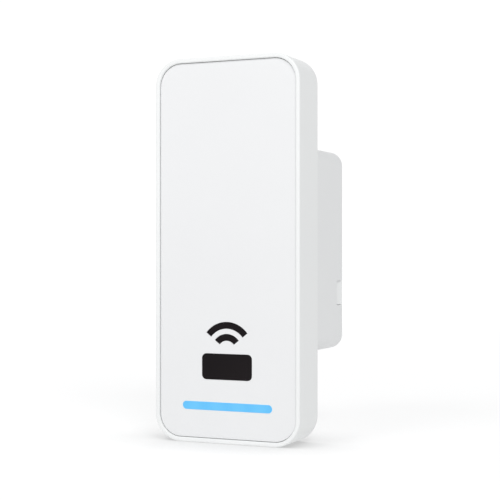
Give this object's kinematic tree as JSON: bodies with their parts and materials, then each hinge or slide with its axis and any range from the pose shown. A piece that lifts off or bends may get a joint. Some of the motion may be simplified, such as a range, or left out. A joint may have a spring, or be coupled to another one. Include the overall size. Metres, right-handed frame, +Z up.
{
  "type": "rfid card reader",
  "caption": "Slim wall-mounted contactless card reader with a lit status bar, and a box behind it for the network cable.",
  "frame": {"origin": "middle of the whole reader's footprint (slab and rear box together), at the height of the bottom edge", "axes": "+Z up along the long side of the slab; +Y from the person presenting a card into the wall; +X to that person's right"},
  "size_m": [0.054, 0.0504, 0.132],
  "materials": {
    "white_plastic": "moulded white polycarbonate blend, fine satin texture",
    "panel_plastic": "flat pale grey-white polycarbonate, satin",
    "black_inlay": "black moulded inlay, satin",
    "blue_lens": "translucent diffusing lens, lit blue from behind",
    "clear_plastic": "clear polycarbonate light guide, polished",
    "adhesive_tape": "black foam adhesive tape",
    "antenna_laminate": "black solder mask on glass-epoxy laminate",
    "copper_foil": "bare copper foil track",
    "ferrite": "dark grey sintered ferrite",
    "beige_plastic": "natural nylon connector body",
    "board_laminate": "green solder mask on glass-epoxy laminate",
    "chip_black": "black moulded epoxy",
    "tinned_steel": "tin-plated sheet steel",
    "foam": "black closed-cell foam",
    "rubber_seal": "dark grey silicone rubber",
    "screw_steel": "zinc-plated steel screw",
    "spring_steel": "drawn spring wire",
    "label_film": "silver-grey polyester label, blank",
    "capacitor_sleeve": "aluminium can in a dark shrink sleeve",
    "black_plastic": "black acetal",
    "gold_contact": "gold-plated phosphor bronze",
    "led_body": "side-lit LED package with a phosphor window"
  },
  "bodies": {
    "reader": {"antenna_board": "antenna_laminate", "antenna_coil": "copper_foil", "antenna_connector": "beige_plastic", "beeper": "chip_black", "board_header": "beige_plastic", "board_screw_1": "screw_steel", "board_screw_2": "screw_steel", "board_screw_3": "screw_steel", "board_screw_4": "screw_steel", "bulk_capacitor_1": "capacitor_sleeve", "bulk_capacitor_2": "capacitor_sleeve", "ethernet_jack": "tinned_steel", "face_panel": "panel_plastic", "ferrite_sheet": "ferrite", "front_housing": "white_plastic", "housing_screw_1": "screw_steel", "housing_screw_2": "screw_steel", "housing_screw_3": "screw_steel", "housing_screw_4": "screw_steel", "jack_contact_1": "gold_contact", "jack_contact_2": "gold_contact", "jack_contact_3": "gold_contact", "jack_contact_4": "gold_contact", "jack_contact_5": "gold_contact", "jack_contact_6": "gold_contact", "jack_contact_7": "gold_contact", "jack_contact_8": "gold_contact", "jack_gasket": "rubber_seal", "light_bar_lens": "blue_lens", "light_guide": "clear_plastic", "main_board": "board_laminate", "network_transformer": "chip_black", "nfc_shield_can": "tinned_steel", "panel_adhesive": "adhesive_tape", "power_board": "board_laminate", "power_inductor": "ferrite", "power_transformer": "ferrite", "processor_chip": "chip_black", "radio_module": "tinned_steel", "rating_label": "label_film", "rear_housing": "white_plastic", "rear_seal": "rubber_seal", "reset_switch": "chip_black", "security_screw": "screw_steel", "sign_card": "black_inlay", "sign_wave_inner": "black_inlay", "sign_wave_outer": "black_inlay", "sound_vent": "foam", "status_led_1": "led_body", "status_led_2": "led_body", "status_led_3": "led_body", "status_led_4": "led_body", "tamper_spring": "spring_steel", "tamper_switch": "chip_black", "wall_gasket": "foam"},
    "cover": {"port_cover": "white_plastic", "port_cover_seal": "rubber_seal", "cable_grommet": "rubber_seal"},
    "reset": {"reset_button": "black_plastic"},
    "tamper": {"tamper_plunger": "black_plastic"}
  },
  "joints": [
    {"name": "port_cover_pull", "type": "slide", "parent": "reader", "child": "cover", "axis": [0, 1, 0], "range_m": [0, 0.02]},
    {"name": "reset_press", "type": "slide", "parent": "reader", "child": "reset", "axis": [0, -1, 0], "range_m": [0, 0.00035], "stiffness_N_per_m": 1500, "springref_m": -0.0002},
    {"name": "tamper_press", "type": "slide", "parent": "reader", "child": "tamper", "axis": [0, -1, 0], "range_m": [0, 0.0019], "stiffness_N_per_m": 300, "springref_m": -0.0008, "deforming": ["tamper_spring"]}
  ]
}
